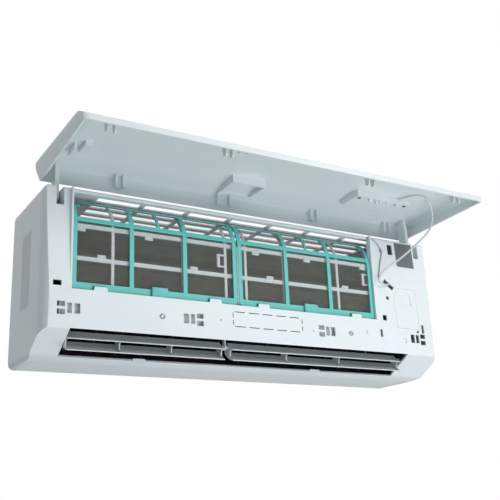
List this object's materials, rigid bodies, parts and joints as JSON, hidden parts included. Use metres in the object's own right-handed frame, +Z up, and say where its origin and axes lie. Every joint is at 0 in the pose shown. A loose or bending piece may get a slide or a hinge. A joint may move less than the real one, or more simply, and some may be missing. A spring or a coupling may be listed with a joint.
{
  "type": "mini split indoor unit",
  "caption": "Wall-hung split air conditioner indoor unit, front panel swung up on side arms over slide-out air filters, with a drum fan, coil, tilting louvres and swinging vanes.",
  "frame": {"origin": "middle of the mounting plate, on its wall face", "axes": "+X along the unit to the right as seen from the room, +Y into the wall, +Z up"},
  "size_m": [0.8226, 0.3538, 0.3554],
  "materials": {
    "casing": "fine satin",
    "panel": "smooth satin",
    "grille": "satin",
    "chassis": "matt",
    "duct": "matt black",
    "foam": "matt moulded foam",
    "fins": "dull coated",
    "zinc": "zinc plated",
    "copper": "bare copper",
    "fan": "matt",
    "motor": "satin",
    "rubber": "matt",
    "louver": "satin",
    "filter": "satin",
    "net": "woven mesh",
    "board": "satin",
    "terminal": "matt",
    "screw": "plated",
    "wire": "matt",
    "darkWire": "matt"
  },
  "bodies": {
    "casing": {"front_frame": "casing", "frame_screw_1": "screw", "frame_screw_2": "screw", "service_cover": "casing", "screw_cap": "casing", "rear_chassis": "chassis", "mounting_plate": "zinc", "drain_pan": "foam", "evaporator_lower": "fins", "evaporator_upper": "fins", "evaporator_rear": "fins", "tube_plate_left": "zinc", "tube_plate_right": "zinc", "gas_pipe": "copper", "liquid_pipe": "copper", "fan_bearing": "rubber", "fan_motor": "motor", "motor_clamp": "chassis", "louver_centre_support": "louver", "louver_motor": "motor", "filter_support": "chassis", "electrical_box": "grille", "control_board": "board", "terminal_block": "terminal", "display_cable": "wire", "sensor_lead": "darkWire"},
    "panel": {"front_panel": "panel", "display_housing": "panel", "display_board": "board"},
    "fan": {"fan_wheel": "fan", "motor_shaft": "screw"},
    "manual_button": {"manual_button": "casing"},
    "louver_left": {"louver_left": "louver"},
    "louver_right": {"louver_right": "louver"},
    "filter_left": {"filter_frame_left": "filter", "filter_net_left": "net"},
    "filter_right": {"filter_frame_right": "filter", "filter_net_right": "net"},
    "vane_left_1": {"vane_left_1": "duct"},
    "vane_left_2": {"vane_left_2": "duct"},
    "vane_left_3": {"vane_left_3": "duct"},
    "vane_left_4": {"vane_left_4": "duct"},
    "vane_left_5": {"vane_left_5": "duct"},
    "vane_left_6": {"vane_left_6": "duct"},
    "vane_left_7": {"vane_left_7": "duct"},
    "vane_link_left": {"vane_link_left": "duct"},
    "vane_right_1": {"vane_right_1": "duct"},
    "vane_right_2": {"vane_right_2": "duct"},
    "vane_right_3": {"vane_right_3": "duct"},
    "vane_right_4": {"vane_right_4": "duct"},
    "vane_right_5": {"vane_right_5": "duct"},
    "vane_right_6": {"vane_right_6": "duct"},
    "vane_right_7": {"vane_right_7": "duct"},
    "vane_link_right": {"vane_link_right": "duct"}
  },
  "joints": [
    {"name": "front_panel_hinge", "type": "hinge", "parent": "casing", "child": "panel", "pos_m": [0, -0.1392, 0.0976], "axis": [1, 0, 0], "range_deg": [0, 90], "deforming": ["display_cable"]},
    {"name": "filter_left_slide", "type": "slide", "parent": "casing", "child": "filter_left", "axis": [0, 1, 0], "range_m": [-0.12, 0]},
    {"name": "filter_right_slide", "type": "slide", "parent": "casing", "child": "filter_right", "axis": [0, 1, 0], "range_m": [-0.12, 0]},
    {"name": "louver_left_tilt", "type": "hinge", "parent": "casing", "child": "louver_left", "pos_m": [-0.22, -0.15, -0.136], "axis": [1, 0, 0], "range_deg": [-58, 12]},
    {"name": "louver_right_tilt", "type": "hinge", "parent": "casing", "child": "louver_right", "pos_m": [0.13, -0.15, -0.136], "axis": [1, 0, 0], "range_deg": [-58, 12]},
    {"name": "vane_left_1_swing", "type": "hinge", "parent": "casing", "child": "vane_left_1", "pos_m": [-0.348, -0.12008, -0.12197], "axis": [0, -0.5563, 0.831], "range_deg": [-30, 30]},
    {"name": "vane_left_2_swing", "type": "hinge", "parent": "casing", "child": "vane_left_2", "pos_m": [-0.302, -0.12008, -0.12197], "axis": [0, -0.5563, 0.831], "range_deg": [-30, 30]},
    {"name": "vane_left_3_swing", "type": "hinge", "parent": "casing", "child": "vane_left_3", "pos_m": [-0.256, -0.12008, -0.12197], "axis": [0, -0.5563, 0.831], "range_deg": [-30, 30]},
    {"name": "vane_left_4_swing", "type": "hinge", "parent": "casing", "child": "vane_left_4", "pos_m": [-0.21, -0.12008, -0.12197], "axis": [0, -0.5563, 0.831], "range_deg": [-30, 30]},
    {"name": "vane_left_5_swing", "type": "hinge", "parent": "casing", "child": "vane_left_5", "pos_m": [-0.164, -0.12008, -0.12197], "axis": [0, -0.5563, 0.831], "range_deg": [-30, 30]},
    {"name": "vane_left_6_swing", "type": "hinge", "parent": "casing", "child": "vane_left_6", "pos_m": [-0.118, -0.12008, -0.12197], "axis": [0, -0.5563, 0.831], "range_deg": [-30, 30]},
    {"name": "vane_left_7_swing", "type": "hinge", "parent": "casing", "child": "vane_left_7", "pos_m": [-0.072, -0.12008, -0.12197], "axis": [0, -0.5563, 0.831], "range_deg": [-30, 30]},
    {"name": "vane_link_left_pivot", "type": "hinge", "parent": "vane_left_1", "child": "vane_link_left", "pos_m": [-0.348, -0.10679, -0.11307], "axis": [0, -0.5563, 0.831], "range_deg": [-30, 30]},
    {"name": "vane_right_1_swing", "type": "hinge", "parent": "casing", "child": "vane_right_1", "pos_m": [-0.016, -0.12008, -0.12197], "axis": [0, -0.5563, 0.831], "range_deg": [-30, 30]},
    {"name": "vane_right_2_swing", "type": "hinge", "parent": "casing", "child": "vane_right_2", "pos_m": [0.03, -0.12008, -0.12197], "axis": [0, -0.5563, 0.831], "range_deg": [-30, 30]},
    {"name": "vane_right_3_swing", "type": "hinge", "parent": "casing", "child": "vane_right_3", "pos_m": [0.076, -0.12008, -0.12197], "axis": [0, -0.5563, 0.831], "range_deg": [-30, 30]},
    {"name": "vane_right_4_swing", "type": "hinge", "parent": "casing", "child": "vane_right_4", "pos_m": [0.122, -0.12008, -0.12197], "axis": [0, -0.5563, 0.831], "range_deg": [-30, 30]},
    {"name": "vane_right_5_swing", "type": "hinge", "parent": "casing", "child": "vane_right_5", "pos_m": [0.168, -0.12008, -0.12197], "axis": [0, -0.5563, 0.831], "range_deg": [-30, 30]},
    {"name": "vane_right_6_swing", "type": "hinge", "parent": "casing", "child": "vane_right_6", "pos_m": [0.214, -0.12008, -0.12197], "axis": [0, -0.5563, 0.831], "range_deg": [-30, 30]},
    {"name": "vane_right_7_swing", "type": "hinge", "parent": "casing", "child": "vane_right_7", "pos_m": [0.26, -0.12008, -0.12197], "axis": [0, -0.5563, 0.831], "range_deg": [-30, 30]},
    {"name": "vane_link_right_pivot", "type": "hinge", "parent": "vane_right_1", "child": "vane_link_right", "pos_m": [-0.016, -0.10679, -0.11307], "axis": [0, -0.5563, 0.831], "range_deg": [-30, 30]},
    {"name": "fan_spin", "type": "hinge", "parent": "casing", "child": "fan", "pos_m": [0, -0.086, -0.062], "axis": [1, 0, 0], "continuous": true},
    {"name": "manual_button_press", "type": "slide", "parent": "casing", "child": "manual_button", "axis": [0, 1, 0], "range_m": [0, 0.0015], "stiffness_N_per_m": 200}
  ],
  "couplings": [
    {"joint": "louver_left_tilt", "follows": "louver_right_tilt", "ratio": 1},
    {"joint": "vane_left_2_swing", "follows": "vane_left_1_swing", "ratio": 1},
    {"joint": "vane_left_3_swing", "follows": "vane_left_1_swing", "ratio": 1},
    {"joint": "vane_left_4_swing", "follows": "vane_left_1_swing", "ratio": 1},
    {"joint": "vane_left_5_swing", "follows": "vane_left_1_swing", "ratio": 1},
    {"joint": "vane_left_6_swing", "follows": "vane_left_1_swing", "ratio": 1},
    {"joint": "vane_left_7_swing", "follows": "vane_left_1_swing", "ratio": 1},
    {"joint": "vane_link_left_pivot", "follows": "vane_left_1_swing", "ratio": -1},
    {"joint": "vane_right_2_swing", "follows": "vane_right_1_swing", "ratio": 1},
    {"joint": "vane_right_3_swing", "follows": "vane_right_1_swing", "ratio": 1},
    {"joint": "vane_right_4_swing", "follows": "vane_right_1_swing", "ratio": 1},
    {"joint": "vane_right_5_swing", "follows": "vane_right_1_swing", "ratio": 1},
    {"joint": "vane_right_6_swing", "follows": "vane_right_1_swing", "ratio": 1},
    {"joint": "vane_right_7_swing", "follows": "vane_right_1_swing", "ratio": 1},
    {"joint": "vane_link_right_pivot", "follows": "vane_right_1_swing", "ratio": -1}
  ]
}
